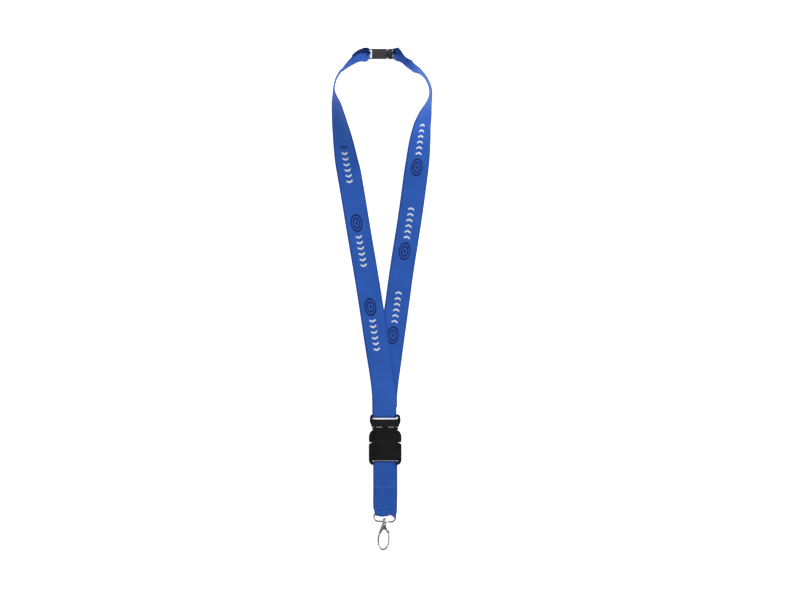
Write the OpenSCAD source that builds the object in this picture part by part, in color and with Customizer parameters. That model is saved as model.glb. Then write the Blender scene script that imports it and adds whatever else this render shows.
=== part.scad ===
// Neck lanyard laid flat: webbing loop, breakaway clasp, side-release buckle,
// lower strap, bail, swivel stud and oval hook with a sprung gate.
// +Y runs along the lanyard towards the clasp, +Z up from the surface it lies on.

/* [Webbing] */
// Width of the webbing
web_w = 25; // [24:0.5:25.5]
// Thickness of one layer of webbing
web_t = 0.9; // [0.7:0.05:0.95]

/* [Safety clasp] */
// Length of the socket half's block
socket_len = 15.8; // [14:0.1:16.5]
// Height of the clasp across the ribbon
clasp_w = 10.7; // [10.4:0.1:11.5]
// Thickness of the clasp
clasp_t = 6.4; // [6:0.1:7]

/* [Side-release buckle] */
// Width of the buckle over its buttons
buckle_w = 34.4; // [34:0.1:36]
// Thickness of the buckle
buckle_t = 11; // [10.6:0.1:12]
// Wall of the housing's face and back panels
wall = 1.6; // [1.4:0.1:1.8]
// Radius of the two webbing bars
bar_r = 1.4; // [1.2:0.05:1.45]

/* [Hook] */
// Radius of the bail's wire
bail_r = 0.95; // [0.8:0.05:1]
// Width of the hook over its bars
hook_w = 13; // [12.6:0.1:14]
// Thickness of the hook
hook_t = 3.2; // [3:0.1:3.6]
// Radius of the gate's rivet
rivet_r = 0.5; // [0.4:0.05:0.55]

/* [Hidden] */
off = [0.1, 0.6, 0];      // puts the origin under the middle of the lanyard's box

bx = 3.4;                 // middle of the buckle
cy = 257.5;               // middle line of the clasp
cz = clasp_t / 2;         // clasp's mid height
bar_y = -122.3;           // upper webbing bar
low_y = -172.2;           // lower webbing bar
bz = buckle_t / 2;        // mid height of the buckle and of its bars
hub = [3.1, -226, 2.15];  // middle of the bail's straight bar
tilt = -2.8;              // bail and hook lie turned by this much
sock_r = 5.3;             // open end of the socket block
sock_l = sock_r - socket_len;
eye_l = -16.2;            // bar of the socket's eye
eye_r = 15.1;             // bar of the plug's eye
pin = [5.0, -19.2];       // gate rivet in the hook's own plane

// ---- webbing: sections swept along stations [x, y, z, heading, lean, width, thickness]
function cr(a, b, c, d, t) = 0.5 * ((2 * b) + (c - a) * t + (2 * a - 5 * b + 4 * c - d) * t * t + (3 * b - a - 3 * c + d) * t * t * t);
function fine(s, n) = concat(
    [for (i = [0 : len(s) - 2]) for (k = [0 : n - 1])
        cr(s[max(i - 1, 0)], s[i], s[i + 1], s[min(i + 2, len(s) - 1)], k / n)],
    [s[len(s) - 1]]);
function xyz(p) = [p[0], p[1], p[2]];
function unit(v) = v / norm(v);
function across(p) = [cos(p[3]) * cos(p[4]), sin(p[3]) * cos(p[4]), sin(p[4])];
module webbing(s) {
    n = len(s);
    pts = [for (i = [0 : n - 1])
        let (p = s[i], t = unit(xyz(s[min(i + 1, n - 1)]) - xyz(s[max(i - 1, 0)])),
             w = across(p), u = unit(cross(t, w)), v = unit(w - t * (w * t)))
        for (q = [[-1, -1], [1, -1], [1, 1], [-1, 1]])
            xyz(p) + v * (q[0] * p[5] / 2) + u * (q[1] * p[6] / 2)];
    // the two wide faces take the same diagonal, so a twisted stretch keeps its thickness
    side = [for (i = [0 : n - 2]) for (k = [0 : 3])
        let (a = 4 * i + k, b = 4 * i + (k + 1) % 4) each
        (k < 2 ? [[a, b, a + 4], [b, b + 4, a + 4]] : [[a, b, b + 4], [a, b + 4, a + 4]])];
    caps = [[0, 3, 2], [0, 2, 1], [4 * n - 4, 4 * n - 3, 4 * n - 2], [4 * n - 4, 4 * n - 2, 4 * n - 1]];
    polyhedron(pts, concat(side, caps), convexity = 10);
}
W = web_w;
T = web_t;
T2 = 2 * web_t;

// left strap: tail under the join, round the buckle's bar, up the left side, round the socket's eye
left_route = concat(
    [for (p = [[3.2, -105, 4.2], [3.2, -110, 4.3], [3.2, -116, 4.0], [3.2, -119.6, 3.7],
               [3.2, -122.3, 3.55], [3.2, -123.7, 4.1], [3.2, -124.3, 5.5], [3.2, -123.7, 6.9],
               [3.2, -122.3, 7.45], [3.2, -119, 7.3], [3.2, -114, 6.8], [3.1, -108, 6.5], [2.9, -101, 6.3]])
        [p[0], p[1], p[2], 0, 0, W, T]],
    [[2.3, -94, 5.7, 4, 0, W, T],
     [0.9, -85, 4.6, 8, 0, W, T],
     [-0.9, -74, 3.2, 9, 0, W, T],
     [-2.6, -64, 2.4, 9.5, 0, W, T],
     [-6, -43, 1.8, 9.5, 0, W, T],
     [-9.1, -22, 1.7, 9, 0, W, T],
     [-12.3, -1, 1.7, 9, 0, W, T],
     [-15.6, 20, 1.2, 9.5, 0, W, T],
     [-19.1, 41, 0.6, 9.7, 0, W, T],
     [-22.7, 62, 0.5, 9.7, 0, W, T],
     [-26.2, 83, 0.5, 9.7, 0, W, T],
     [-29.6, 104, 0.5, 9.7, 0, W, T],
     [-33.9, 129, 0.8, 9.7, 2, W, T],
     [-36.9, 146, 4.0, 9, 16, W, T],
     [-40.1, 167, 7.5, 9, 34, W, T],
     [-44, 188, 10.4, 10, 52, W, T],
     [-47.3, 205, 12, 11, 66, W, T],
     [-49.2, 213.5, 12.7, 7, 77, W, T],
     [-49.9, 221.6, 13, -2, 88, W, T],
     [-48.2, 230, 13, -17, 93, W, T],
     [-43.9, 238.2, 13, -32, 95, W, T],
     [-38.2, 244.2, 12.9, -49, 99, W, T],
     [-31.2, 249.8, 10.4, -54, 107, 20, 1.2],
     [-26.9, 252.9, 7.6, -60, 118, 15, 1.6],
     [-22.9, 255, 6, -70, 138, 13, T2],
     [-19.6, 256.6, 6.4, -82, 165, 10.2, T2], [-17.7, 257.3, 5.75, -88, 177, 8.2, T2]],
    [for (p = [[-16.2, 257.5, 5.15, 8.2], [-14.85, 257.5, 4.55, 8.2], [-14.3, 257.5, 3.2, 8.2], [-14.85, 257.5, 1.85, 8.2],
               [-16.2, 257.5, 1.25, 8.2], [-18.4, 257.3, 1.2, 8.3], [-20.4, 257, 1.3, 9]])
        [p[0], p[1], p[2], -90, 180, p[3], T2]]);

// right strap: sewn end under the join, up the right side, round the plug's eye
right_route = concat(
    [[3.2, -113.5, 5.5, 0, 0, W, T],
     [3.2, -108, 5.4, 0, 0, W, T],
     [3.3, -101, 5.1, -4, 0, W, T],
     [4.0, -94, 4.3, -7, 0, W, T],
     [5.0, -85, 3.1, -8, 0, W, T],
     [6.5, -74, 1.6, -8, 0, W, T],
     [7.9, -64, 0.7, -8, 0, W, T],
     [10.7, -43, 0.5, -8, 0, W, T],
     [13.6, -22, 0.5, -8, 0, W, T],
     [16.5, -1, 0.5, -8, 0, W, T],
     [19.3, 20, 0.5, -8.5, 0, W, T],
     [22.4, 41, 0.5, -9, 0, W, T],
     [25.7, 62, 0.5, -9, 0, W, T],
     [29, 83, 0.5, -8.5, 0, W, T],
     [32, 104, 0.5, -8, 0, W, T],
     [35.3, 129, 0.8, -7, -2, W, T],
     [37.6, 146, 3.5, -6, -14, W, T],
     [39.5, 163, 6.1, -6.5, -26, W, T],
     [41.7, 179.6, 8.9, -10, -42, W, T],
     [43.7, 188, 10.3, -14, -51, W, T],
     [46.1, 196.5, 11.6, -18, -62, W, T],
     [49, 205, 12.7, -16, -76, W, T],
     [50.9, 213, 13, -8, -84, W, T],
     [50.7, 221.7, 13, 12, -87, W, T],
     [47.4, 230, 13, 30, -86, W, T],
     [44.4, 234.4, 13, 39, -83, W, T],
     [37.3, 240.8, 12.7, 52, -76, W, T],
     [32.8, 244.2, 12.2, 53, -71, W, T],
     [28.4, 247.5, 9.4, 54, -67, 19, 1.2],
     [24.7, 250.6, 7.2, 56, -58, 15, 1.6],
     [21, 253.8, 5.9, 64, -38, 13, T2],
     [18.4, 256.3, 6.3, 80, -13, 10.2, T2], [16.6, 257.2, 5.7, 88, -3, 8.2, T2]],
    [for (p = [[15.1, 257.5, 5.15, 8.2], [13.75, 257.5, 4.55, 8.2], [13.2, 257.5, 3.2, 8.2], [13.75, 257.5, 1.85, 8.2],
               [15.1, 257.5, 1.25, 8.2], [17.3, 257.3, 1.2, 8.3], [19.2, 257, 1.3, 9]])
        [p[0], p[1], p[2], 90, 0, p[3], T2]]);

// lower strap: one loop round the lower bar and the bail, with its end laid inside
low_route = concat(
    [for (p = [[3.5, -201, 1.6], [3.5, -194, 1.65], [3.5, -187, 1.9], [3.5, -180, 2.6], [3.5, -175, 3.35],
               [3.5, -172.2, 3.55], [3.5, -170.8, 4.1], [3.5, -170.2, 5.5], [3.5, -170.8, 6.9], [3.5, -172.2, 7.45],
               [3.5, -175, 7.1], [3.5, -180, 5.9], [3.5, -187, 4.2], [3.5, -194, 3.1], [3.5, -202, 2.75]])
        [p[0], p[1], p[2], 0, 0, W, T]],
    [[3.4, -211, 2.9, -1, 0, W, T],
     [3.3, -219, 3.4, -2, 0, 23.5, T],
     [3.2, -223, 3.7, tilt, 0, 20.5, T]],
    [for (p = [[3.1, -226, 3.8], [3.1, -227.2, 3.3], [3.1, -227.7, 2.15], [3.1, -227.2, 1.0], [3.1, -226, 0.5]])
        [p[0], p[1], p[2], tilt, 0, 19, T]],
    [[3.2, -223, 0.5, tilt, 0, 20.5, T],
     [3.3, -219, 0.5, -2, 0, 23.5, T],
     [3.4, -211, 0.5, -1, 0, W, T],
     [3.5, -202, 0.5, 0, 0, W, T],
     [3.5, -194, 0.5, 0, 0, W, T],
     [3.5, -188, 0.5, 0, 0, W, T]]);

module neck_strap_left() { color("royalblue") webbing(fine(left_route, 2)); }
module neck_strap_right() { color("royalblue") webbing(fine(right_route, 2)); }
module lower_strap() { color("royalblue") webbing(fine(low_route, 2)); }

// ---- small shapes
module block(x0, x1, y0, y1, z0, z1) { translate([x0, y0, z0]) cube([x1 - x0, y1 - y0, z1 - z0]); }
module rod(p, axis, r, l, fn = 32) {
    translate(p) rotate(axis == "x" ? [0, 90, 0] : axis == "y" ? [-90, 0, 0] : [0, 0, 0]) cylinder(r = r, h = l, center = true, $fn = fn);
}
module slab(z0, z1) { translate([0, 0, z0]) linear_extrude(z1 - z0) children(); }
module bend(p, r, a0, a, wire) {
    translate([p[0], p[1], 0]) rotate([0, 0, a0]) rotate_extrude(angle = a, $fn = 48) translate([r, 0]) circle(r = wire, $fn = 20);
}
// a row of stitches along X, each a short dash standing in the webbing
module stitch_row(x0, x1, pitch, len, y, z, h) {
    for (x = [x0 : pitch : x1]) translate([x, y, z]) cube([len, 0.45, h], center = true);
}

// ---- breakaway clasp
module clasp_eye(x_bar, x_in) {
    a = min(x_bar - sign(x_in - x_bar) * 1.0, x_in);
    b = max(x_bar - sign(x_in - x_bar) * 1.0, x_in);
    for (s = [-1, 1]) block(a, b, cy + s * (clasp_w / 2 - 0.55) - 0.55, cy + s * (clasp_w / 2 - 0.55) + 0.55, cz - 1.6, cz + 1.6);
    rod([x_bar, cy, cz], "y", 0.9, clasp_w - 1.2);
}
module clasp_outline(x0, x1, half, r) {
    for (s = [[x0 + r, -half + r], [x1 - r, -half + r], [x0 + r, half - r], [x1 - r, half - r]]) translate([s[0], cy + s[1]]) circle(r = r, $fn = 32);
    translate([x0 + r, cy - half]) square([x1 - x0 - 2 * r, 2 * half]);
    translate([x0, cy - half + r]) square([x1 - x0, 2 * half - 2 * r]);
}
module clasp_socket() {
    color("#3c3e42") {
        difference() {
            union() {
                slab(0, clasp_t) clasp_outline(sock_l, sock_r, clasp_w / 2, 0.8);
                clasp_eye(eye_l, sock_l + 0.5);
            }
            block(-4.2, sock_r + 1, cy - 3.3, cy + 3.3, cz - 1.8, cz + 1.8);
            for (s = [-1, 1]) block(-0.6, 1.8, cy + s * 3.7 - 0.5, cy + s * 3.7 + 0.5, cz - 1.8, cz + 1.8);
        }
    }
}
module clasp_plug() {
    color("#46484c") {
        slab(0, clasp_t) clasp_outline(6.5, 11.2, clasp_w / 2, 0.8);
        block(5.5, 7, cy - 4.4, cy + 4.4, cz - 2.4, cz + 2.4);
        // forked snap tongue: two prongs on a shared root
        difference() {
            block(-3.4, 6, cy - 2.9, cy + 2.9, cz - 1.45, cz + 1.45);
            block(-4, 3.6, cy - 1.1, cy + 1.1, cz - 2, cz + 2);
        }
        for (s = [-1, 1]) block(-0.1, 1.3, cy + s * 2.95 - 0.2, cy + s * 2.95 + 0.2, cz - 1.2, cz + 1.2);
        clasp_eye(eye_r, 10.7);
    }
}

// ---- side-release buckle, drawn about its own middle line
module male_outline() {
    difference() {
        union() {
            for (s = [-1, 1]) {
                translate([s * 13.5, -127.3]) circle(r = 2.75, $fn = 48);
                polygon([[s * 10, -126], [s * 16.2, -127], [s * 16.2, -128.2], [s * 15.8, -129.7], [s * 15.2, -131.1],
                         [s * 14.5, -132.7], [s * 14.1, -134.2], [s * 10, -134.2]]);
                translate([s * 13.3, -123.2]) circle(r = 2.2, $fn = 48);
                translate([s * 14.1 - 1.9, -127.4]) square([3.8, 4.2]);
                translate([s * 12.3 - 1.2, -134.2]) square([2.4, 5.2]);
            }
            translate([-13.4, -134.2]) square([26.8, 8]);
        }
        // window for the webbing
        translate([-13.2, -125.9]) square([26.4, 8]);
    }
}
module buckle_male_frame() {
    color("#232325") translate([bx, 0, 0]) {
        difference() {
            slab(0.6, buckle_t - 0.6) male_outline();
            // pockets for the two latch arms, open to the sides and the mouth
            for (s = [-1, 1]) block(s > 0 ? 6.8 : -20, s > 0 ? 20 : -6.8, -140, -130.2, 2.3, buckle_t - 2.3);
            for (s = [-1, 1]) block(s * 9.5 - 2.4, s * 9.5 + 2.4, -131, -126.9, 2.3, buckle_t - 2.3);
        }
        rod([0, bar_y, bz], "x", bar_r, 27);
        // centre guide tongue
        block(-3.2, 3.2, -158, -133.5, bz - 1.5, bz + 1.5);
        rod([0, -158, bz], "z", 3.2, 3);
    }
}
module latch_arm() {
    // root eye, spring leaf, then the button and its short tip
    rod([9.5, -129.2, bz], "z", 1.7, buckle_t - 5.2);
    slab(2.6, buckle_t - 2.6)
    polygon([[8.2, -129.2], [10.9, -129.2], [12.2, -137.4], [14.0, -137.9], [15.7, -139.6], [16.8, -142], [17.2, -145],
             [17.1, -148], [16.6, -150.3], [12.85, -150.3], [12.4, -153.4], [10.9, -153.6], [10.3, -149.5], [10.5, -141]]);
}
module buckle_latch_right() { color("#1d1d1f") translate([bx, 0, 0]) latch_arm(); }
module buckle_latch_left() { color("#1d1d1f") translate([bx, 0, 0]) mirror([1, 0, 0]) latch_arm(); }
module housing_outline() {
    difference() {
        union() {
            translate([-13.8, -151]) square([27.6, 16.4]);
            for (s = [-1, 1]) {
                translate([s * (buckle_w / 2 - 2.2), -153.4]) circle(r = 2.2, $fn = 48);
                translate([s * (buckle_w / 2 - 6), -168.6]) circle(r = 6, $fn = 64);
            }
            translate([-buckle_w / 2 + 2.2, -153.4]) square([buckle_w - 4.4, 2.6]);
            translate([-buckle_w / 2, -168.6]) square([buckle_w, 15.2]);
            translate([-buckle_w / 2 + 6, -174.6]) square([buckle_w - 12, 8]);
        }
        // scallops over the buttons
        for (s = [-1, 1]) translate([s * 20.2, -143.1]) circle(r = 9.4, $fn = 96);
    }
}
module buckle_female_housing() {
    color("#1f1f21") translate([bx, 0, 0]) {
        difference() {
            slab(0, buckle_t) housing_outline();
            // cavity for the tongue and the arms
            block(-13, 13, -165, -130, wall, buckle_t - wall);
            // side windows for the buttons
            for (s = [-1, 1]) block(s > 0 ? 9 : -20, s > 0 ? 20 : -9, -151, -136.4, wall, buckle_t - wall);
            // mouth of the lower strap
            block(-13.1, 13.1, -180, -169.45, -1, buckle_t + 1);
        }
        rod([0, low_y, bz], "x", bar_r, 27);
    }
}

// ---- bail, swivel and hook, drawn in their own plane about the bail's bar
module at_hub() { translate(hub) rotate([0, 0, tilt]) children(); }
module bail_ring() {
    color("#b4b6ba") at_hub() difference() {
        union() {
            rod([0, 0, 0], "x", bail_r, 18);
            for (s = [-1, 1]) {
                bend([s * 9, -2.2], 2.2, s > 0 ? 0 : 90, 90, bail_r);
                rod([s * 11.2, -2.65, 0], "y", bail_r, 0.9);
                bend([s * 6.7, -3.1], 4.5, s > 0 ? -90 : 180, 90, bail_r);
            }
            rod([0, -7.6, 0], "x", bail_r, 13.4);
            rod([0, -7.6, 0], "y", 1.9, 2.6);
        }
        rod([0, -7.6, 0], "y", 0.87, 10);
    }
}
module swivel_stud() {
    color("#a6a8ac") at_hub() {
        rod([0, -7.5, 0], "y", 0.8, 3.6);
        translate([0, -5.0, 0]) rotate([-90, 0, 0]) rotate_extrude($fn = 32) polygon([[0, -1], [2, -1], [2, -0.4], [1.6, 0.5], [0.9, 1], [0, 1.1]]);
    }
}
function egg(hw, lo, hi) = [for (a = [0 : 6 : 354]) [hw * sin(a), (lo + hi) / 2 - (hi - lo) / 2 * cos(a)]];
inner_w = hook_w / 2 - 1.9;
module hook_body() {
    color("#aeb0b4") at_hub() difference() {
        union() {
            slab(-hook_t / 2, hook_t / 2) polygon(egg(hook_w / 2, -38.1, -13.9));
            slab(-hook_t / 2, hook_t / 2) polygon([[-1.9, -9.6], [1.9, -9.6], [3.4, -13.6], [5.5, -18.8], [5.0, -21], [-5.0, -21], [-5.5, -18.8], [-3.4, -13.6]]);
        }
        slab(-3, 3) polygon(egg(inner_w, -36, -16.8));
        // the gate's opening, from under the rivet's ears to the nose
        slab(-3, 3) polygon([[3.2, -20.6], [8, -20.6], [8, -34.2], [4.4, -33.4], [2.6, -33.4]]);
        // slot between the ears
        block(2.6, 8, -23, -16.9, -0.8, 0.8);
        // pocket for the spring, open into the slot
        block(-0.6, 3.2, -15.9, -14.9, -0.8, 0.8);
        block(2.2, 3.2, -18.5, -14.9, -0.8, 0.8);
        rod([pin[0], pin[1], 0], "z", rivet_r, 10);
        rod([0, -9, 0], "y", 0.8, 1.6);
        // recess in the cap's face
        slab(hook_t / 2 - 0.4, 3) polygon([[0, -11.6], [1.7, -14.2], [-1.7, -14.2]]);
    }
}
module hook_gate() {
    color("#c2c4c8") at_hub() difference() {
        union() {
            slab(-0.7, 0.7) {
                translate(pin) circle(r = 1.15, $fn = 32);
                intersection() {
                    difference() { polygon(egg(hook_w / 2 - 0.1, -38, -14)); polygon(egg(inner_w + 0.1, -36.1, -16.7)); }
                    translate([3.6, -22.4]) square([6, 3.2]);
                }
            }
            slab(-1.3, 1.3) intersection() {
                difference() { polygon(egg(hook_w / 2 - 0.1, -38, -14)); polygon(egg(inner_w + 0.1, -36.1, -16.7)); }
                polygon([[3.4, -21.4], [8, -21.4], [8, -33.9], [4.6, -33.15], [3.4, -33.15]]);
            }
        }
        rod([pin[0], pin[1], 0], "z", rivet_r + 0.05, 10);
    }
}
module gate_rivet() { color("#8c8e92") at_hub() { rod([pin[0], pin[1], 0], "z", rivet_r, hook_t); for (s = [-1, 1]) rod([pin[0], pin[1], s * (hook_t / 2 + 0.15)], "z", 0.9, 0.3); } }
module gate_spring() { color("#7c7e82") at_hub() { block(-0.5, 2.9, -15.6, -15.25, -0.6, 0.6); block(2.55, 2.9, -17.6, -15.3, -0.6, 0.6); } }

// ---- stitching
module stitching_neck_join() {
    color("#1d3f8e") {
        stitch_row(-5.6, 12, 2.2, 1.4, -108.4, 6.75, 0.9);
        stitch_row(-5.6, 12, 2.2, 1.4, -106, 6.7, 0.9);
        stitch_row(-5.6, 12, 2.2, 1.4, -108.4, 4.05, 0.9);
    }
}
module stitching_lower_strap() {
    color("#6f8fd6") {
        stitch_row(-7.3, 14.6, 2.2, 1.4, -197.2, 3.0, 0.9);
        stitch_row(-7.3, 14.6, 2.2, 1.4, -197.2, 0.35, 0.6);
    }
}
module stitching_clasp_left() {
    color("#1d3f8e") at_clasp_stitch(-20.6, 256.2, 9, 5.9);
}
module stitching_clasp_right() {
    color("#1d3f8e") at_clasp_stitch(19.4, 255.4, -14, 5.9);
}
module at_clasp_stitch(x, y, a, z) {
    translate([x, y, z]) rotate([0, 0, a]) for (k = [-1.5 : 1 : 1.5]) translate([0, k * 1.6, 0]) cube([0.45, 1.1, 0.8], center = true);
}

translate(off) neck_strap_left();
translate(off) neck_strap_right();
translate(off) lower_strap();
translate(off) clasp_socket();
translate(off) clasp_plug();
translate(off) buckle_male_frame();
translate(off) buckle_latch_left();
translate(off) buckle_latch_right();
translate(off) buckle_female_housing();
translate(off) bail_ring();
translate(off) swivel_stud();
translate(off) hook_body();
translate(off) hook_gate();
translate(off) gate_rivet();
translate(off) gate_spring();
translate(off) stitching_clasp_left();
translate(off) stitching_clasp_right();
translate(off) stitching_neck_join();
translate(off) stitching_lower_strap();
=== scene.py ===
import math
import random

import bmesh
import bpy
import numpy as np
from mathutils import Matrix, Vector


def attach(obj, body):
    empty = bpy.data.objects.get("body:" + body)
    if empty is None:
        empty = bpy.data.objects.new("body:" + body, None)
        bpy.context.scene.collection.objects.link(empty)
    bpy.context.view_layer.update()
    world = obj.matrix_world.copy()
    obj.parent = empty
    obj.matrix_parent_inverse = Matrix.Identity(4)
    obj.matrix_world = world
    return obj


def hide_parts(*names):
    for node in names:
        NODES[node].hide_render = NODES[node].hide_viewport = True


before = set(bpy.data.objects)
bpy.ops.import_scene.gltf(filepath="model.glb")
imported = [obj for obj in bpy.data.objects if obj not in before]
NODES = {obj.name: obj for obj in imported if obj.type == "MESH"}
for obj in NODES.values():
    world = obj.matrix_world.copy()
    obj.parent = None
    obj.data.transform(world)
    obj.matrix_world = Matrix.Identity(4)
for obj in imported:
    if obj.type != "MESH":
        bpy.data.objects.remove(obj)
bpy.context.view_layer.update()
MM = 0.001
OFF = np.array([0.1, 0.6, 0.0])  # the layout's origin in the row frame, mm
RNG = np.random.default_rng(7)


# ------------------------------------------------------------------ camera, floor, light
def look_down():
    data = bpy.data.cameras.new("camera")
    cam = bpy.data.objects.new("camera", data)
    bpy.context.scene.collection.objects.link(cam)
    data.sensor_width, data.lens = 36.0, 400.0
    data.clip_start, data.clip_end = 0.05, 20.0
    cam.location = (0.01905, -0.00030, 9.3333 + 0.004)
    cam.rotation_euler = (0.0, 0.0, 0.0)
    bpy.context.scene.camera = cam


look_down()

LAYOUT = {}


# ------------------------------------------------------------------ node helpers
class Sock:
    """A shader socket or a number, with arithmetic that builds Math nodes."""

    def __init__(self, tree, value):
        self.t, self.v = tree, value

    def _op(self, kind, *others):
        n = self.t.nodes.new("ShaderNodeMath")
        n.operation = kind
        for i, o in enumerate((self, *others)):
            o = o.v if isinstance(o, Sock) else o
            if isinstance(o, (int, float)):
                n.inputs[i].default_value = o
            else:
                self.t.links.new(o, n.inputs[i])
        return Sock(self.t, n.outputs[0])

    def __add__(self, o): return self._op("ADD", o)
    def __radd__(self, o): return self._op("ADD", o)
    def __sub__(self, o): return self._op("SUBTRACT", o)
    def __rsub__(self, o): return Sock(self.t, o)._op("SUBTRACT", self)
    def __mul__(self, o): return self._op("MULTIPLY", o)
    def __rmul__(self, o): return self._op("MULTIPLY", o)
    def __truediv__(self, o): return self._op("DIVIDE", o)
    def sin(self): return self._op("SINE")
    def abs(self): return self._op("ABSOLUTE")
    def floor(self): return self._op("FLOOR")
    def frac(self): return self._op("FRACT")
    def sqrt(self): return self._op("SQRT")
    def min(self, o): return self._op("MINIMUM", o)
    def max(self, o): return self._op("MAXIMUM", o)
    def pow(self, o): return self._op("POWER", o)
    def lt(self, o): return self._op("LESS_THAN", o)
    def gt(self, o): return self._op("GREATER_THAN", o)

    def ramp(self, lo, hi):
        n = self.t.nodes.new("ShaderNodeMapRange")
        n.interpolation_type = "SMOOTHSTEP"
        n.inputs["From Min"].default_value, n.inputs["From Max"].default_value = lo, hi
        self.t.links.new(self.v, n.inputs["Value"])
        return Sock(self.t, n.outputs["Result"])


def new_material(name):
    m = bpy.data.materials.new(name)
    m.use_nodes = True
    t = m.node_tree
    b = t.nodes["Principled BSDF"]
    return m, t, b


def uv_of(t):
    n = t.nodes.new("ShaderNodeUVMap")
    n.uv_map = "Metres"
    s = t.nodes.new("ShaderNodeSeparateXYZ")
    t.links.new(n.outputs["UV"], s.inputs[0])
    return Sock(t, s.outputs["X"]), Sock(t, s.outputs["Y"])


def coords(t):
    n = t.nodes.new("ShaderNodeTexCoord")
    return n.outputs["Object"]


def noise(t, vec, scale, detail=3.0, rough=0.5, dims="3D"):
    n = t.nodes.new("ShaderNodeTexNoise")
    n.noise_dimensions = dims
    n.inputs["Scale"].default_value = scale
    n.inputs["Detail"].default_value = detail
    n.inputs["Roughness"].default_value = rough
    if vec is not None:
        t.links.new(vec, n.inputs["Vector"])
    return Sock(t, n.outputs["Fac"])


def mix(t, fac, a, b):
    n = t.nodes.new("ShaderNodeMix")
    n.data_type = "RGBA"
    if isinstance(fac, Sock):
        t.links.new(fac.v, n.inputs["Factor"])
    else:
        n.inputs["Factor"].default_value = fac
    for sock, c in ((n.inputs[6], a), (n.inputs[7], b)):
        if isinstance(c, tuple):
            sock.default_value = (*c, 1.0)
        else:
            t.links.new(c, sock)
    return n.outputs[2]


def bump(t, height, distance, strength=1.0, normal=None):
    n = t.nodes.new("ShaderNodeBump")
    n.inputs["Strength"].default_value = strength
    n.inputs["Distance"].default_value = distance
    t.links.new(height.v, n.inputs["Height"])
    if normal is not None:
        t.links.new(normal, n.inputs["Normal"])
    return n.outputs["Normal"]


# ------------------------------------------------------------------ materials
def webbing_material(name, base, dark, print_at=None, print_dir=1, print_span=(-1.0, 1.0), rib=0.00105, shift=0.0, pucker=None):
    """Woven polyester webbing: weft ribs crossed by warp ends, a rounded selvedge with painted shade along it, painted
    shade inside opened folds and, on the face side, a printed motif.
    """
    m, t, b = new_material(name)
    u, v = uv_of(t)
    face = u.lt(0.5)
    ua = u - face._op("LESS_THAN", 0.5)  # the back's UV stands one metre off
    wob = noise(t, coords(t), 60.0, 2.0) * 0.0006
    vv = v + wob
    col = (ua / 0.00052).floor()
    phase = (col * 0.5).frac() * math.pi * 2
    ribs = (vv * (2 * math.pi / rib) + phase).sin()
    ends = (ua * (math.pi / 0.00052)).sin().abs().sqrt()
    weave = (ribs * 0.5 + 0.5) * ends
    edge = (ua.abs()).ramp(0.0104, 0.0121)
    fuzz = noise(t, coords(t), 5200.0, 2.0, 0.6)
    big = noise(t, coords(t), 38.0, 3.0)
    tone = (weave * 0.45 + fuzz * 0.35 + big * 0.35 - 0.1)
    colour = mix(t, tone.ramp(0.05, 0.95), dark, base)
    # painted shade: the selvedge is darkened towards three quarters of the deep blue where its rounded edge turns away
    # from the light
    colour = mix(t, edge * 0.6, colour, tuple(x * 0.75 for x in dark))
    # painted shade: the inner face of an opened fold is pulled towards a fifth of the deep blue, standing in for the
    # shadow inside the fold
    fold_shade_node = t.nodes.new("ShaderNodeAttribute")
    fold_shade_node.attribute_name = "PaintedFoldShade"
    colour = mix(t, Sock(t, fold_shade_node.outputs["Fac"]) * 0.8, colour, tuple(x * 0.22 for x in dark))
    rough = fuzz * 0.12 + 0.58
    if print_at is not None:
        period = 0.0893
        w = ua - shift
        a = (((v - print_at) * (print_dir / period) + 0.25).frac() - 0.25) * period
        on = face * v.gt(print_span[0]) * v.lt(print_span[1])
        # three nested ovals
        r = ((w / 0.0063).pow(2) + (a / 0.0098).pow(2)).sqrt()
        line = lambda c, q: (r - c).abs().lt(q)
        oval = line(0.88, 0.105).max(line(0.52, 0.10)).max(r.lt(0.19))
        # a row of six chevrons
        k = (a - 0.0118) / 0.00605
        inside = k.gt(0.0) * k.lt(6.0)
        c = (k.frac() - 0.5) * 0.00605
        chev = ((c + w.abs() * 0.5 - 0.0008).abs()).lt(0.00095) * w.abs().lt(0.0032)
        white = chev * inside * on
        navy = oval * on
        print_wear_and_edge_highlight = noise(t, coords(t), 900.0, 3.0).ramp(0.2, 0.42)
        colour = mix(t, navy * (print_wear_and_edge_highlight * 0.2 + 0.72), colour, (0.006, 0.016, 0.11))
        colour = mix(t, white * (print_wear_and_edge_highlight * 0.15 + 0.83), colour, (0.84, 0.88, 0.96))
        rough = rough - (white + navy) * 0.08
    t.links.new(colour, b.inputs["Base Color"])
    t.links.new(rough.v, b.inputs["Roughness"])
    b.inputs["Sheen Weight"].default_value = 0.08
    b.inputs["Sheen Roughness"].default_value = 0.4
    b.inputs["Sheen Tint"].default_value = (0.3, 0.5, 1.0, 1.0)
    b.inputs["Specular IOR Level"].default_value = 0.16
    n1 = bump(t, weave + edge * 0.8, 0.00022, 0.75)
    if pucker is not None:
        lo, hi = pucker
        pk = (v * (2 * math.pi / 0.0026) + noise(t, coords(t), 90.0, 2.0) * 3.0).sin() * v.gt(lo) * v.lt(hi)
        n1 = bump(t, pk, 0.0003, 0.8, n1)
    n2 = bump(t, fuzz, 0.00005, 0.5, n1)
    t.links.new(n2, b.inputs["Normal"])
    return m


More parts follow.
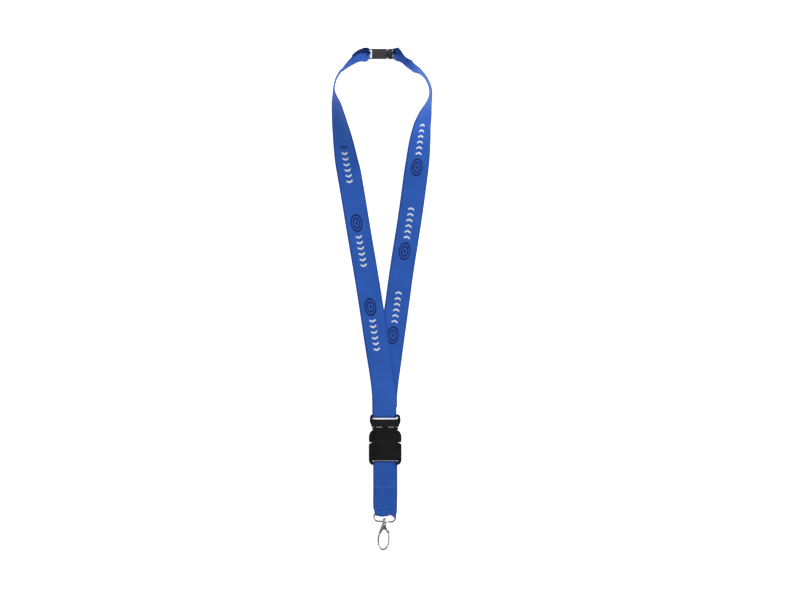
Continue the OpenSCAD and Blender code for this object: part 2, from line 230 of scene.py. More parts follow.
def plastic_material(name, base, lift, rough, grain=2600.0, gdist=0.00003, spec=0.4):
    """Moulded plastic with a fine spark-eroded grain, faint flow marks and a painted highlight along sharp edges."""
    m, t, b = new_material(name)
    c = coords(t)
    fine = noise(t, c, grain, 2.0, 0.55)
    wide = noise(t, c, 70.0, 4.0, 0.55)
    geo = t.nodes.new("ShaderNodeNewGeometry")
    # painted highlight: sharp convex edges (by pointiness) are lightened, standing in for the light catching the edges
    print_wear_and_edge_highlight = Sock(t, geo.outputs["Pointiness"]).ramp(0.53, 0.60)
    wide2 = wide.ramp(0.3, 0.75)
    colour = mix(t, wide2 * 0.5 + fine * 0.15, base, lift)
    colour = mix(t, print_wear_and_edge_highlight * 0.12, colour, tuple(min(1.0, x * 2.5 + 0.01) for x in lift))
    t.links.new(colour, b.inputs["Base Color"])
    t.links.new((fine * 0.14 + wide2 * 0.08 + (rough - 0.1)).v, b.inputs["Roughness"])
    b.inputs["Specular IOR Level"].default_value = spec
    t.links.new(bump(t, fine + wide * 0.3, gdist, 0.8), b.inputs["Normal"])
    return m


def metal_material(name, base, rough, scratch=0.5):
    """Nickel plating: polished, with a soft cloudiness, hairline scratches and painted shade on the flanks."""
    m, t, b = new_material(name)
    c = coords(t)
    cloud = noise(t, c, 240.0, 4.0, 0.6)
    mp = t.nodes.new("ShaderNodeMapping")
    mp.inputs["Scale"].default_value = (1.0, 14.0, 1.0)
    t.links.new(c, mp.inputs["Vector"])
    hair = noise(t, mp.outputs["Vector"], 900.0, 4.0, 0.7).ramp(0.46, 0.72)
    colour = mix(t, cloud.ramp(0.3, 0.8), base, tuple(x * 0.8 for x in base))
    # painted shade: where the object-space normal turns away from up, the colour drops to a tenth of the base, standing
    # in for the dark reflections along the sides
    tn = t.nodes.new("ShaderNodeTexCoord")
    sn = t.nodes.new("ShaderNodeSeparateXYZ")
    t.links.new(tn.outputs["Normal"], sn.inputs[0])
    flank_shade = 1.0 - Sock(t, sn.outputs["Z"]).abs().ramp(0.15, 0.86)
    colour = mix(t, flank_shade * 0.93, colour, tuple(x * 0.10 for x in base))
    t.links.new(colour, b.inputs["Base Color"])
    b.inputs["Metallic"].default_value = 1.0
    t.links.new((cloud * 0.12 + hair * 0.10 * scratch + rough).v, b.inputs["Roughness"])
    t.links.new(bump(t, hair * scratch + cloud * 0.6, 0.00002, 0.5), b.inputs["Normal"])
    return m


def thread_material(name, base, dark):
    m, t, b = new_material(name)
    c = coords(t)
    w = t.nodes.new("ShaderNodeTexWave")
    w.wave_type, w.bands_direction = "BANDS", "DIAGONAL"
    w.inputs["Scale"].default_value = 900.0
    w.inputs["Distortion"].default_value = 1.5
    t.links.new(c, w.inputs["Vector"])
    twist = Sock(t, w.outputs["Fac"])
    fuzz = noise(t, c, 6000.0, 2.0)
    t.links.new(mix(t, twist * 0.7 + fuzz * 0.3, dark, base), b.inputs["Base Color"])
    b.inputs["Roughness"].default_value = 0.6
    b.inputs["Sheen Weight"].default_value = 0.3
    t.links.new(bump(t, twist, 0.00006, 0.8), b.inputs["Normal"])
    return m


# ------------------------------------------------------------------ webbing geometry
def cr(s, n):
    """Catmull-Rom through the rows of s, n steps a span."""
    s = np.asarray(s, float)
    out = []
    for i in range(len(s) - 1):
        a, b, c, d = s[max(i - 1, 0)], s[i], s[i + 1], s[min(i + 2, len(s) - 1)]
        for k in range(n):
            t = k / n
            out.append(0.5 * (2 * b + (c - a) * t + (2 * a - 5 * b + 4 * c - d) * t * t + (3 * b - a - 3 * c + d) * t ** 3))
    out.append(s[-1])
    return np.array(out)


def smooth(x):
    x = np.clip(x, 0, 1)
    return x * x * (3 - 2 * x)


def resample(rows, step):
    """Rows of [x, y, z, ...] at even spacing along the path."""
    d = np.r_[0, np.cumsum(np.linalg.norm(np.diff(rows[:, :3], axis=0), axis=1))]
    n = max(2, int(round(d[-1] / step)))
    s = np.linspace(0, d[-1], n + 1)
    return np.stack([np.interp(s, d, rows[:, k]) for k in range(rows.shape[1])], 1), s


def ribbon(name, stations, hand, width, step=1.2, across=28, t=0.9, wave=None, material=None, caps=True):
    """A flat ribbon. Stations: [x, y, z, heading of the inward axis, low half's angle, high half's angle, fold half-width, squeeze, corrugation].
    The path is the ribbon's middle line. hand is +1 where the inward axis is right of the path and -1 where it is left of it."""
    rows, s = resample(cr(stations, 10), step)
    n = len(rows)
    P = rows[:, :3]
    T = np.gradient(P, axis=0)
    T /= np.linalg.norm(T, axis=1)[:, None]
    h = np.radians(rows[:, 3])
    A = np.stack([np.cos(h), np.sin(h), np.zeros(n)], 1)
    A = A - (A * T).sum(1)[:, None] * T
    A /= np.linalg.norm(A, axis=1)[:, None]
    B = hand * np.cross(A, T)
    verts, uvs, shade, grid = [], [], [], []
    fold_side = 0
    half = width / 2
    vv = np.linspace(-half, half, across + 1)
    fine = np.linspace(-half, half, 401)
    ring = None
    for i in range(n):
        al, au, m, sq, cor = rows[i, 4:9]
        m = max(m, 0.8)
        f0 = 1.1 * smooth((au - al - 30) / 70)
        th = np.radians(al + (au - al) * smooth((fine - f0 + m) / (2 * m)))
        ca, sa = np.cos(th), np.sin(th)
        dx = fine[1] - fine[0]
        x = np.r_[0, np.cumsum((ca[1:] + ca[:-1]) / 2 * dx)]
        y = np.r_[0, np.cumsum((sa[1:] + sa[:-1]) / 2 * dx)]
        x -= np.interp(0, fine, x)
        y -= np.interp(0, fine, y)
        if cor:
            y = y + cor * np.sin(fine / half * math.pi * 2.5 + 0.6) * (1 - np.abs(fine / half) ** 4)
        x = x * sq
        if wave is not None:
            y = y + wave(s[i], fine)
        tx, ty = np.gradient(x), np.gradient(y)
        q = np.hypot(tx, ty)
        nx, ny = -ty / q, tx / q
        X, Y = np.interp(vv, fine, x), np.interp(vv, fine, y)
        NX, NY = np.interp(vv, fine, nx), np.interp(vv, fine, ny)
        TX, TY = np.interp(vv, fine, tx / q), np.interp(vv, fine, ty / q)
        tt = np.full_like(vv, t / 2)
        tt[[0, -1]] *= 0.62
        tt[[1, -2]] *= 1.06
        ring = []
        for j in range(across + 1):
            ring.append((X[j] + NX[j] * tt[j], Y[j] + NY[j] * tt[j], vv[j], 0))
        ring.append((X[-1] + TX[-1] * 0.22, Y[-1] + TY[-1] * 0.22, half, 0))
        for j in range(across, -1, -1):
            ring.append((X[j] - NX[j] * tt[j], Y[j] - NY[j] * tt[j], vv[j], 1))
        ring.append((X[0] - TX[0] * 0.22, Y[0] - TY[0] * 0.22, -half, 1))
        # painted shade mask: 1 on the inner face of an opened fold (0.75 past the crease), which the webbing shader
        # darkens
        inside = smooth((au - al - 55) / 50)
        for a, b2, w, back in ring:
            verts.append(P[i] + A[i] * a + B[i] * b2)
            uvs.append((w * MM + back, s[i] * MM))
            shade.append(inside * (1.0 if back == fold_side else 0.0) * (0.75 if w > f0 else 1.0))
        grid.append([(P[i] + A[i] * (X[j] + sg * NX[j] * t / 2) + B[i] * (Y[j] + sg * NY[j] * t / 2)) for sg in (1, -1) for j in range(across + 1)])
    k = len(ring)
    verts = (np.array(verts) + OFF) * MM
    faces = []
    for i in range(n - 1):
        for j in range(k):
            a, b2 = i * k + j, i * k + (j + 1) % k
            q = (a, b2, b2 + k, a + k)
            faces.append(q if hand < 0 else q[::-1])
    if caps:
        lo = list(range(k))
        hi = [(n - 1) * k + j for j in range(k)]
        faces.append(tuple(lo[::-1] if hand < 0 else lo))
        faces.append(tuple(hi if hand < 0 else hi[::-1]))
    me = bpy.data.meshes.new(name)
    me.from_pydata([tuple(v) for v in verts], [], faces)
    layer = me.uv_layers.new(name="Metres")
    uvs = np.array(uvs)
    me.attributes.new("PaintedFoldShade", "FLOAT", "POINT").data.foreach_set("value", np.array(shade, np.float32))
    for poly in me.polygons:
        ids = [me.loops[l].vertex_index for l in poly.loop_indices]
        backs = [uvs[q][0] > 0.5 for q in ids]
        mostly_back = sum(backs) * 2 >= len(backs)
        for l, q in zip(poly.loop_indices, ids):
            x = uvs[q][0] - (1.0 if uvs[q][0] > 0.5 else 0.0)
            layer.data[l].uv = (x + (1.0 if mostly_back else 0.0), uvs[q][1])
        poly.use_smooth = len(ids) == 4
    me.update()
    ob = bpy.data.objects.new(name, me)
    bpy.context.scene.collection.objects.link(ob)
    if material:
        me.materials.append(material)
    path = (P[:: max(1, n // 60)] + OFF) * MM
    if not np.allclose(path[-1], (P[-1] + OFF) * MM):
        path = np.vstack([path, (P[-1] + OFF) * MM])
    LAYOUT[name] = {"P": P + OFF, "A": A, "B": B, "T": T, "s": s, "length": s[-1] * MM, "path": path.tolist(), "rows": rows, "grid": (np.array(grid).reshape(n, 2, across + 1, 3) + OFF) * MM, "across": across, "width": width}
    return ob


def at(name, x, y):
    """How far along a ribbon its middle line passes nearest to a point, in metres."""
    L = LAYOUT[name]
    d = np.hypot(L["P"][:, 0] - x - OFF[0], L["P"][:, 1] - y - OFF[1])
    return L["s"][int(np.argmin(d))] * MM


F = [0, 0, 6, 1, 0]  # flat: low angle, high angle, fold half-width, squeeze, corrugation


def flat(x, y, z, h=0, roll=0):
    return [x, y, z, h, roll, roll, 6, 1, 0]


LEFT = [flat(x, y, z) for x, y, z in (
    (2.5, -105, 4.2), (2.5, -110, 4.3), (2.5, -116, 4.0), (2.5, -119.6, 3.7), (2.5, -122.3, 3.55), (2.5, -123.7, 4.1),
    (2.5, -124.3, 5.5), (2.5, -123.7, 6.9), (2.5, -122.3, 7.45), (2.5, -119, 7.3), (2.5, -114, 6.8), (2.4, -108, 6.5), (2.2, -101, 6.3))]
LEFT += [
    flat(1.7, -94, 5.7, 4), flat(0.6, -85, 4.6, 7), flat(-1.0, -74, 3.2, 9), flat(-2.6, -64, 2.4, 9.5), flat(-6, -43, 1.8, 9.5),
    flat(-9.1, -22, 1.7, 9), flat(-12.3, -1, 1.7, 9), flat(-15.6, 20, 1.2, 9.5), flat(-19.1, 41, 0.6, 9.7), flat(-22.7, 62, 0.5, 9.7),
    flat(-26.2, 83, 0.5, 9.7), flat(-29.6, 104, 0.5, 9.7), flat(-33.9, 129, 0.8, 9.7, 2), [-36.9, 146, 4.0, 9, 7, 25, 12, 1, 0],
    [-40.1, 167, 7.5, 9, 24, 44, 12, 1, 0], [-44, 188, 10.4, 10, 45, 60, 12, 1, 0], [-47.3, 205, 12, 11, 63, 72, 12, 1, 0], [-49.2, 213.5, 12.7, 7, 77, 83, 12, 1, 0],
    [-49.8, 221.6, 13, -2, 84, 93, 8, 1, 0], [-47.9, 230, 13, -17, 83, 95, 7, 1, 0], [-43.4, 237.6, 13, -32, 80, 98, 5, 1, 0],
    [-39.7, 240.3, 13, -42, 77, 102, 4, 1, 0], [-36.4, 242.7, 12.9, -49, 70, 110, 3.5, 1, 0], [-32.7, 245.0, 12.7, -56, 62, 118, 3, 1, 0],
    [-28.9, 247.1, 12.2, -61, 56, 124, 2.6, 1, 0], [-25.0, 249.2, 11.2, -64, 50, 129, 2.2, 1, 0], [-22.4, 250.0, 9.4, -73, 34, 130, 1.9, 1, 0],
    [-19.3, 250.2, 7.0, -82, 8, 131, 1.6, 1.07, 0], [-16.9, 250.8, 5.8, -88, 2, 128, 1.4, 1.07, 0.1], [-15.6, 251.9, 5.2, -90, 1, 134, 1.3, 0.96, 0.15],
    [-14.8, 253.0, 4.4, -90, 2, 160, 1.2, 0.7, 0.25], [-14.35, 253.35, 3.2, -90, 2, 176, 1.2, 0.66, 0.3], [-14.9, 253.35, 1.9, -90, 2, 177, 1.2, 0.66, 0.3],
    [-16.2, 253.3, 1.35, -90, 2, 177, 1.2, 0.7, 0.2], [-18.4, 253.0, 1.6, -87, -3, 175, 1.2, 0.74, 0.15], [-20.9, 252.2, 2.2, -80, -6, 172, 1.2, 0.78, 0.1]]

RIGHT = [flat(x, y, z, 180 + h) for x, y, z, h in (
    (3.2, -113.5, 5.5, 0), (3.2, -108, 5.4, 0), (3.3, -101, 5.1, -4), (4.0, -94, 4.3, -7), (5.0, -85, 3.1, -8), (6.5, -74, 1.6, -8),
    (7.9, -64, 0.7, -8), (10.7, -43, 0.5, -8), (13.6, -22, 0.5, -8), (16.5, -1, 0.5, -8), (19.3, 20, 0.5, -8.5), (22.4, 41, 0.5, -9),
    (25.7, 62, 0.5, -9), (29, 83, 0.5, -8.5), (32, 104, 0.5, -8))]
RIGHT += [
    flat(35.3, 129, 0.8, 173, 2), flat(37.6, 146, 3.5, 174, 14), flat(39.5, 163, 6.1, 173.5, 26), flat(41.7, 179.6, 8.9, 170, 42),
    flat(43.7, 188, 10.3, 166, 51), flat(46.1, 196.5, 11.6, 162, 62), flat(49, 205, 12.7, 164, 76), [50.8, 213, 13, 172, 80, 86, 12, 1, 0], [50.4, 221.7, 13, 192, 81, 88, 12, 1, 0], [47.0, 230, 13, 210, 80, 88, 12, 1, 0], [44.1, 234.2, 13, 219, 79, 86, 12, 1, 0],
    [40.9, 237.6, 12.9, 224, 78, 80, 6, 1, 0], [37.2, 239.8, 12.7, 228, 69, 77, 8, 1, 0], [33.2, 240.6, 12.6, 230, 55, 82, 7, 1, 0],
    [29.9, 241.4, 12.5, 232, 49, 97, 5, 1, 0], [25.9, 244.1, 11.9, 235, 49, 123, 3.4, 1, 0], [22.6, 247.4, 10.7, 241, 48, 133, 2.4, 1, 0],
    [20.2, 249.2, 8.9, 253, 40, 134, 2, 0.95, 0], [18.0, 250.4, 7.0, 266, 22, 131, 1.7, 1.0, 0], [15.7, 251.4, 5.8, 268, 2, 129, 1.4, 1.03, 0.1],
    [14.5, 252.4, 5.2, 270, 1, 136, 1.3, 0.94, 0.15], [13.75, 253.1, 4.4, 270, 2, 160, 1.2, 0.7, 0.25], [13.25, 253.35, 3.2, 270, 2, 176, 1.2, 0.66, 0.3],
    [13.8, 253.35, 1.9, 270, 2, 177, 1.2, 0.66, 0.3], [15.1, 253.3, 1.35, 270, 2, 177, 1.2, 0.7, 0.2], [17.0, 252.8, 1.5, 268, -2, 175, 1.2, 0.74, 0.15]]

LOW = [flat(3.5, y, z) for y, z in (
    (-201, 1.6), (-194, 1.65), (-187, 1.9), (-180, 2.6), (-175, 3.35), (-172.2, 3.55), (-170.8, 4.1), (-170.2, 5.5), (-170.8, 6.9),
    (-172.2, 7.45), (-175, 7.1), (-180, 5.9), (-187, 4.2), (-194, 3.1), (-202, 2.75))]
LOW += [[3.4, -211, 2.9, -1, 0, 0, 6, 1, 0], [3.3, -219, 3.4, -2, 0, 0, 6, 0.98, 0.1], [3.2, -223, 3.7, -2.8, 0, 0, 6, 0.92, 0.25]]
LOW += [[3.1, y, z, -2.8, 0, 0, 6, 0.86, 0.2] for y, z in ((-226, 3.8), (-227.2, 3.3), (-227.7, 2.15), (-227.2, 1.0), (-226, 0.55))]
LOW += [[3.2, -223, 0.55, -2.8, 0, 0, 6, 0.92, 0.05], [3.3, -219, 0.5, -2, 0, 0, 6, 0.98, 0], flat(3.4, -211, 0.5, -1), flat(3.5, -202, 0.5), flat(3.5, -194, 0.5), flat(3.5, -188, 0.5)]

BLUE, DEEP = (0.050, 0.195, 0.76), (0.018, 0.082, 0.42)


def strap_wave(seed, amp=0.05):
    r = np.random.default_rng(seed)
    ph = r.uniform(0, 6.28, 6)

    def f(s, v):
        long = amp * (math.sin(s / 23 + ph[0]) + 0.6 * math.sin(s / 9.5 + ph[1]))
        return long * np.cos(v / 12.5 * 1.6 + ph[2]) * 0.6 + 0.35 * amp * np.sin(v / 3.1 + s / 31 + ph[3])
    return f


left = ribbon("neck_strap_left_webbing", LEFT, 1, 25, wave=strap_wave(3))
right = ribbon("neck_strap_right_webbing", RIGHT, -1, 25, wave=strap_wave(5))
low = ribbon("lower_strap_webbing", LOW, 1, 25, step=0.8, wave=strap_wave(9))

LN, RN, DN = left.name, right.name, low.name


def ease(ob, xs, dx, dy):
    """Pull the back half of a folded end sideways and outwards, row by row along its top run."""
    L = LAYOUT[ob.name]
    P, n = L["P"] - OFF, len(L["s"])
    k = 2 * (L["across"] + 1) + 2
    vs = np.linspace(-L["width"] / 2, L["width"] / 2, L["across"] + 1)
    ring_v = np.r_[vs, vs[-1], vs[::-1], vs[0]]
    for i in range(n):
        if P[i, 1] < 245 or P[i, 2] < 2.9 or not xs[0] - 1.5 < P[i, 0] < xs[-1] + 1.5:
            continue
        mx, my = np.interp(P[i, 0], xs, dx), np.interp(P[i, 0], xs, dy)
        for j in range(k):
            w = smooth((-ring_v[j] - 1) / 10)
            ob.data.vertices[i * k + j].co.x += mx * w * MM
            ob.data.vertices[i * k + j].co.y += my * w * MM


ease(left, (-22, -20.5, -19.5, -18.5, -17.4, -16.4, -15.6, -15.0, -14.4), (0, 0, 0.5, 1.3, 3.1, 6.0, 7.0, 4.2, 1.7), (0, 0, -0.4, 0, 0.5, 1.9, 3.4, 3.4, 1.6))
ease(right, (13.4, 14.1, 14.9, 15.8, 16.8, 17.8, 18.7, 19.5, 20.3, 21.1, 21.9, 23.5), (-1.4, -3.6, -5.9, -5.2, -4.1, -4.3, -5.1, -5.4, -5.2, -4.4, -3.1, 0), (1.9, 1.9, 1.9, 1.5, 0.9, 0.2, -0.5, -0.3, -0.5, -0.6, -0.3, 0))
for v in low.data.vertices:
    x, y = v.co.x / MM - OFF[0] - 3.2, v.co.y / MM - OFF[1]
    w = smooth((-216.5 - y) / 9.0)
    g = 3.1 * math.exp(-((x - 5.6) / 1.7) ** 2) - 1.6 * math.exp(-((x - 9.6) / 1.3) ** 2) + 1.2 * smooth((-x - 8.6) / 3.0) - 0.4 * math.exp(-((x + 4) / 4) ** 2)
    v.co.y += w * g * MM
    v.co.x += w * (0.9 * smooth((x - 7.0) / 3.0) + 0.2 * smooth((-x - 6.0) / 4.0)) * MM
for ob in (left, right, low):
    for v in ob.data.vertices:
        v.co.z = max(v.co.z, 0.03 * MM)  # it rests on the surface
# painted light: the left strap's copy of the webbing is made 3% lighter than the right's
mat_left = webbing_material("webbing_left", tuple(x * 1.03 for x in BLUE), DEEP, at(LN, -26.2, 80.2), -1, (at(LN, -5, -66), at(LN, -38.6, 161)), shift=-0.0009)
mat_right = webbing_material("webbing_right", BLUE, DEEP, at(RN, 24.2, 50.5), 1, (at(RN, 8, -62), at(RN, 43.9, 191)))
L = LAYOUT[DN]
front = [i for i in range(len(L["s"])) if 45 < L["s"][i] < 93]
low_v = lambda y: L["s"][min(front, key=lambda i: abs(L["P"][i, 1] - OFF[1] - y))] * MM
# painted shade: the lower strap's copy of the webbing is made 7% darker than the right's
mat_low = webbing_material("webbing_low", tuple(x * 0.93 for x in BLUE), DEEP, pucker=(low_v(-199), low_v(-222)))
for ob, mat, body, node in ((left, mat_left, "root", "neck_strap_left"), (right, mat_right, "right_strap", "neck_strap_right"), (low, mat_low, "lower_strap_body", "lower_strap")):
    ob.data.materials.append(mat)
    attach(ob, body)
    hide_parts(node)
for ob, ex in ((left, (-0.0162, 0.2578, 0.003)), (right, (0.0151, 0.2578, 0.003))):
    L = LAYOUT[ob.name]


# ------------------------------------------------------------------ plastics and metals on the CAD nodes
def dress(node, material, bevel=0.0, segments=3, angle=40):
    ob = NODES[node]
    ob.data.materials.clear()
    ob.data.materials.append(material)
    weld = ob.modifiers.new("weld", "WELD")
    weld.merge_threshold = 1e-6
    if bevel:
        bev = ob.modifiers.new("edges", "BEVEL")
        bev.width, bev.segments = bevel * MM, segments
        bev.limit_method, bev.angle_limit = "ANGLE", math.radians(angle)
        bev.use_clamp_overlap = True
        bev.harden_normals = False
    for p in ob.data.polygons:
        p.use_smooth = True
    sm = ob.modifiers.new("smooth", "WEIGHTED_NORMAL")
    sm.keep_sharp = True


mat_buckle = plastic_material("buckle_black", (0.0050, 0.0050, 0.0054), (0.0085, 0.0085, 0.0092), 0.36, spec=0.32)
mat_clasp = plastic_material("clasp_grey", (0.042, 0.043, 0.048), (0.066, 0.068, 0.074), 0.43)
mat_metal = metal_material("nickel_plate", (0.50, 0.475, 0.45), 0.14)
mat_gate = metal_material("nickel_gate", (0.60, 0.58, 0.55), 0.12, 0.3)
mat_spring = metal_material("spring_wire", (0.5, 0.5, 0.5), 0.3)
mat_thread = thread_material("thread_dark", (0.02, 0.06, 0.28), (0.006, 0.02, 0.11))
mat_thread_light = thread_material("thread_light", (0.20, 0.34, 0.80), (0.08, 0.16, 0.5))
for n in ("buckle_male_frame", "buckle_latch_left", "buckle_latch_right", "buckle_female_housing"):
    dress(n, mat_buckle, 0.45)
for n in ("clasp_socket", "clasp_plug"):
    dress(n, mat_clasp, 0.3)
for n, b in (("bail_ring", 0), ("swivel_stud", 0.12), ("gate_rivet", 0.1)):
    dress(n, mat_metal, b)
dress("gate_spring", mat_spring, 0.08)

HUB, TILT = np.array([3.1, -226.0, 2.15]) + OFF, math.radians(-2.8)


def hub(x, y, z=0.0):
    c, q = math.cos(TILT), math.sin(TILT)
    return (HUB + np.array([x * c - y * q, x * q + y * c, z])) * MM


def add_tube(bm, pts, rads, around=20, ends=True):
    """An elliptical tube through in-plane points of the hook: rads are (in-plane, out-of-plane) half sizes."""
    pts = np.array(pts, float)
    tan = np.gradient(pts, axis=0)
    tan /= np.linalg.norm(tan, axis=1)[:, None]
    rings = []
    for p, tg, (ra, rb) in zip(pts, tan, rads):
        nx, ny = -tg[1], tg[0]
        rings.append([bm.verts.new(hub(p[0] + nx * ra * math.cos(q), p[1] + ny * ra * math.cos(q), rb * math.sin(q))) for q in np.linspace(0, 2 * math.pi, around, endpoint=False)])
    for r0, r1 in zip(rings, rings[1:]):
        for j in range(around):
            bm.faces.new((r0[j], r0[(j + 1) % around], r1[(j + 1) % around], r1[j]))
    if ends:
        bm.faces.new(rings[0][::-1])
        bm.faces.new(rings[-1])


def finish_mesh(name, bm, material, body, nodes, sub=0):
    bmesh.ops.recalc_face_normals(bm, faces=bm.faces)
    me = bpy.data.meshes.new(name)
    bm.to_mesh(me)
    bm.free()
    for p in me.polygons:
        p.use_smooth = True
    me.materials.append(material)
    ob = bpy.data.objects.new(name, me)
    bpy.context.scene.collection.objects.link(ob)
    if sub:
        m = ob.modifiers.new("round", "SUBSURF")
        m.levels = m.render_levels = sub
    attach(ob, body)
    for n in nodes:
        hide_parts(n)
    return ob


def egg_at(a, hw=5.55, lo=-37.05, hi=-15.35):
    a = math.radians(a)  # 0 at the bottom, growing towards +X
    return (hw * math.sin(a), (lo + hi) / 2 - (hi - lo) / 2 * math.cos(a))


def round_end(n, k=4):
    w = np.ones(n)
    for i in range(k):
        q = math.sqrt(max(0.0, 1 - (1 - (i + 0.35) / k) ** 2))
        w[i] = min(w[i], q)
        w[n - 1 - i] = min(w[n - 1 - i], q)
    return w


bm = bmesh.new()
# the ring: from the nose on the right, round the bottom and up the left side
ang = np.linspace(49.5, -122, 78)
ring_pts = [egg_at(a) for a in ang]
w = round_end(len(ang))
add_tube(bm, ring_pts, [(1.02 * q, 1.5 * q) for q in w])
# the cap: two arms spreading from the stem, and a web between them
for sx, x1, y1 in ((-1, -5.0, -21.6), (1, 5.0, -19.9)):
    n = 18
    tt = np.linspace(0, 1, n)
    xs = sx * (0.55 + (abs(x1) - 0.55) * tt ** 1.15)
    ys = -9.05 + (y1 + 9.05) * tt
    ra = 1.55 + 0.45 * np.sin(tt * math.pi) - 0.5 * tt
    rb = 1.35 + 0.5 * np.sin(tt * math.pi * 0.9)
    wq = round_end(n, 2)
    add_tube(bm, list(zip(xs, ys)), [(a * max(q, 0.7), b2 * max(q, 0.7)) for a, b2, q in zip(ra, rb, wq)])
web = []
for y, hw, zt in ((-11.0, 0.9, 1.25), (-13.0, 1.6, 0.95), (-15.2, 2.5, 0.85), (-16.6, 3.1, 0.95)):
    web.append([bm.verts.new(hub(x, y - 0.5 * (1 - (x / max(hw, 0.1)) ** 2) * (0 if y > -16 else -0.8), z)) for x in np.linspace(-hw, hw, 7) for z in (zt, -zt)])
for r0, r1 in zip(web, web[1:]):
    for j in range(6):
        a0, a1, b0, b1 = 2 * j, 2 * j + 2, 2 * j + 1, 2 * j + 3
        bm.faces.new((r0[a0], r0[a1], r1[a1], r1[a0]))
        bm.faces.new((r0[b1], r0[b0], r1[b0], r1[b1]))
for r, flip in ((web[0], 0), (web[-1], 1)):
    for j in range(6):
        q = (r[2 * j], r[2 * j + 2], r[2 * j + 3], r[2 * j + 1])
        bm.faces.new(q if flip else q[::-1])
for e in (0, 6):
    for r0, r1 in zip(web, web[1:]):
        q = (r0[2 * e], r1[2 * e], r1[2 * e + 1], r0[2 * e + 1])
        bm.faces.new(q if e == 0 else q[::-1])
finish_mesh("hook_body_cast", bm, mat_metal, "hook", ["hook_body"])

bm = bmesh.new()
ang = np.linspace(50.8, 123.0, 36)
gp = [egg_at(a, hw=5.55) for a in ang]
w = round_end(len(ang), 2)
add_tube(bm, gp, [(0.85 * max(q, 0.5), 1.2 * max(q, 0.5)) for q in w])
finish_mesh("hook_gate_cast", bm, mat_gate, "gate", ["hook_gate"])


# ------------------------------------------------------------------ sewing
def stitches(name, rows, material, body, node, r=0.17):
    """Threads lying on a ribbon: rows of (ribbon, side, [(along mm, across mm, length mm, angle from across)])."""
    bm = bmesh.new()
    for rib, side, spots in rows:
        L = LAYOUT[rib]
        g, s_, half = L["grid"], L["s"], L["width"] / 2

        def point(sv, v):
            i = np.interp(sv, s_, np.arange(len(s_)))
            j = np.clip((v + half) / L["width"] * L["across"], 0, L["across"])
            i0, j0 = min(int(i), len(s_) - 2), min(int(j), L["across"] - 1)
            fi, fj = i - i0, j - j0
            q = g[:, side]
            return (q[i0, j0] * (1 - fi) * (1 - fj) + q[i0 + 1, j0] * fi * (1 - fj) + q[i0, j0 + 1] * (1 - fi) * fj + q[i0 + 1, j0 + 1] * fi * fj)
        for sv, v, ln, an in spots:
            d = np.array([math.sin(an), math.cos(an)])
            p = [point(sv + d[0] * ln * k, v + d[1] * ln * k) for k in (-0.5, -0.25, 0, 0.25, 0.5)]
            du, dv = point(sv + 0.5, v) - point(sv - 0.5, v), point(sv, v + 0.5) - point(sv, v - 0.5)
            nrm = np.cross(du, dv)
            nrm /= np.linalg.norm(nrm)
            other = g[min(int(np.interp(sv, s_, np.arange(len(s_)))), len(s_) - 1), 1 - side, int((v + half) / L["width"] * L["across"])]
            if np.dot(nrm, p[2] - other) < 0:
                nrm = -nrm
            lift = [-0.16, 0.10, 0.16, 0.10, -0.16]
            p = [q + nrm * h * MM for q, h in zip(p, lift)]
            tg = p[-1] - p[0]
            tg /= np.linalg.norm(tg)
            sd = np.cross(tg, nrm)
            rings = []
            for q, sc in zip(p, (0.6, 1, 1, 1, 0.6)):
                rings.append([bm.verts.new(q + (sd * math.cos(x) + nrm * math.sin(x)) * r * sc * MM) for x in np.linspace(0, 2 * math.pi, 8, endpoint=False)])
            for r0, r1 in zip(rings, rings[1:]):
                for j in range(8):
                    bm.faces.new((r0[j], r0[(j + 1) % 8], r1[(j + 1) % 8], r1[j]))
            bm.faces.new(rings[0][::-1])
            bm.faces.new(rings[-1])
    return finish_mesh(name, bm, material, body, [node])


def s_at(rib, x, y, lo=0.0):
    L = LAYOUT[rib]
    d = np.hypot(L["P"][:, 0] - x - OFF[0], L["P"][:, 1] - y - OFF[1]) + (L["s"] < lo) * 1e3
    return L["s"][int(np.argmin(d))]


across_row = lambda sv, lo, hi, pitch, ln: [(sv, v, ln, 0.0) for v in np.arange(lo, hi, pitch)]
j1, j2 = s_at(LN, 2.4, -108.2, 20), s_at(LN, 2.3, -105.6, 20)
stitches("sewing_neck_join", [(LN, 0, across_row(j1, -9.6, 9.8, 2.2, 1.7) + across_row(j2, -9.0, 9.8, 2.2, 1.5)), (LN, 0, across_row(3.2, -9.6, 9.8, 2.2, 1.6))],
         mat_thread, "root", "stitching_neck_join", 0.2)
c1 = s_at(LN, -23.8, 249.6, 20)
stitches("sewing_clasp_left", [(LN, 1, [(c1 - 1.2 + 0.9 * k, 3.2 + 2.4 * k, 1.5, 0.5) for k in range(4)] + [(c1 - 4.2, 4.4 + 2.4 * k, 1.5, 0.0) for k in range(3)])], mat_thread, "root", "stitching_clasp_left", 0.2)
c2 = s_at(RN, 21.4, 248.6, 20)
stitches("sewing_clasp_right", [(RN, 1, [(c2 - 1.2 + 0.9 * k, 3.2 + 2.4 * k, 1.5, 0.5) for k in range(4)] + [(c2 - 4.2, 4.4 + 2.4 * k, 1.5, 0.0) for k in range(3)])], mat_thread, "right_strap", "stitching_clasp_right", 0.2)
d1 = s_at(DN, 3.5, -197.2, 25)
front = [i for i in range(len(LAYOUT[DN]["s"])) if LAYOUT[DN]["P"][i, 2] > 2.2 and abs(LAYOUT[DN]["P"][i, 1] - OFF[1] + 197.2) < 1.0]
d1 = LAYOUT[DN]["s"][front[len(front) // 2]]
stitches("sewing_lower_strap", [(DN, 1, across_row(d1, -11.0, 11.4, 2.45, 1.6))], mat_thread_light, "lower_strap_body", "stitching_lower_strap", 0.2)


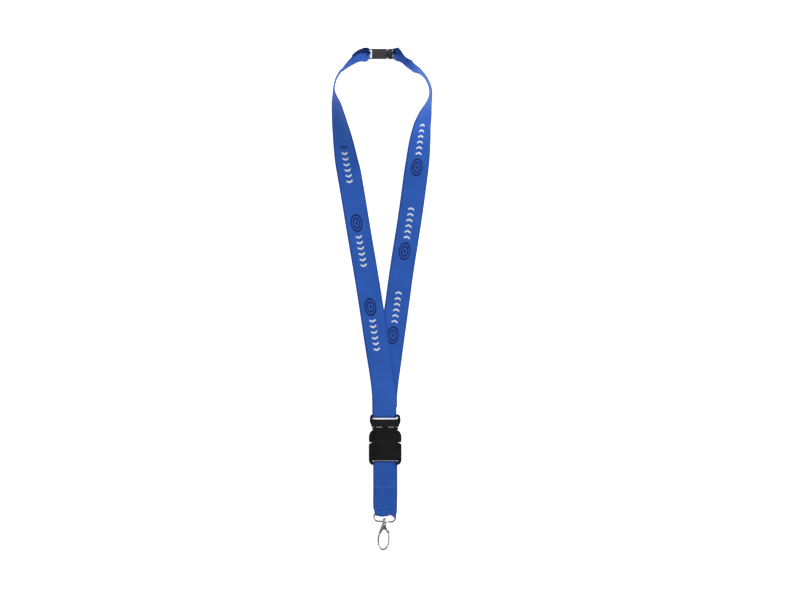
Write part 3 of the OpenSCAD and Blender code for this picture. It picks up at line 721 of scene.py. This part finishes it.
# ------------------------------------------------------------------ floor and light
def floor():
    me = bpy.data.meshes.new("floor")
    me.from_pydata([(-3, -3, 0), (3, -3, 0), (3, 3, 0), (-3, 3, 0)], [], [(0, 1, 2, 3)])
    ob = bpy.data.objects.new("floor", me)
    bpy.context.scene.collection.objects.link(ob)
    m, t, b = new_material("floor_white")
    b.inputs["Base Color"].default_value = (0.93, 0.93, 0.93, 1)
    b.inputs["Emission Color"].default_value = (1, 1, 1, 1)
    b.inputs["Emission Strength"].default_value = 0.82
    b.inputs["Roughness"].default_value = 0.9
    b.inputs["Specular IOR Level"].default_value = 0.1
    me.materials.append(m)
    ob.location.z = -0.0002


def area(name, loc, size, power, target=(0, 0, 0)):
    data = bpy.data.lights.new(name, "AREA")
    data.shape, data.size, data.energy = "SQUARE", size, power
    ob = bpy.data.objects.new(name, data)
    bpy.context.scene.collection.objects.link(ob)
    ob.location = loc
    ob.rotation_mode = "QUATERNION"
    ob.rotation_quaternion = (Vector(target) - Vector(loc)).to_track_quat("-Z", "Y")
    return ob


floor()
world = bpy.data.worlds.new("world")
world.use_nodes = True
wt = world.node_tree
tc = wt.nodes.new("ShaderNodeTexCoord")
sp = wt.nodes.new("ShaderNodeSeparateXYZ")
wt.links.new(tc.outputs["Generated"], sp.inputs[0])
rp = wt.nodes.new("ShaderNodeValToRGB")
rp.color_ramp.elements[0].position, rp.color_ramp.elements[0].color = 0.0, (0.30, 0.30, 0.31, 1)
rp.color_ramp.elements[1].position, rp.color_ramp.elements[1].color = 1.0, (0.22, 0.22, 0.22, 1)
for pos, val in ((0.12, 0.16), (0.30, 0.28), (0.50, 0.85), (0.78, 1.0), (0.92, 0.40), (0.975, 0.22)):
    e = rp.color_ramp.elements.new(pos)
    e.color = (val, val, val, 1)
wt.links.new(sp.outputs["Z"], rp.inputs[0])
wt.links.new(rp.outputs["Color"], wt.nodes["Background"].inputs["Color"])
wt.nodes["Background"].inputs["Strength"].default_value = 0.665
bpy.context.scene.world = world
area("key", (1.7, 0.5, 1.5), 0.9, 29)
area("fill", (-1.5, 0.9, 1.9), 1.2, 1.6)
bpy.context.scene.view_settings.view_transform = "Standard"
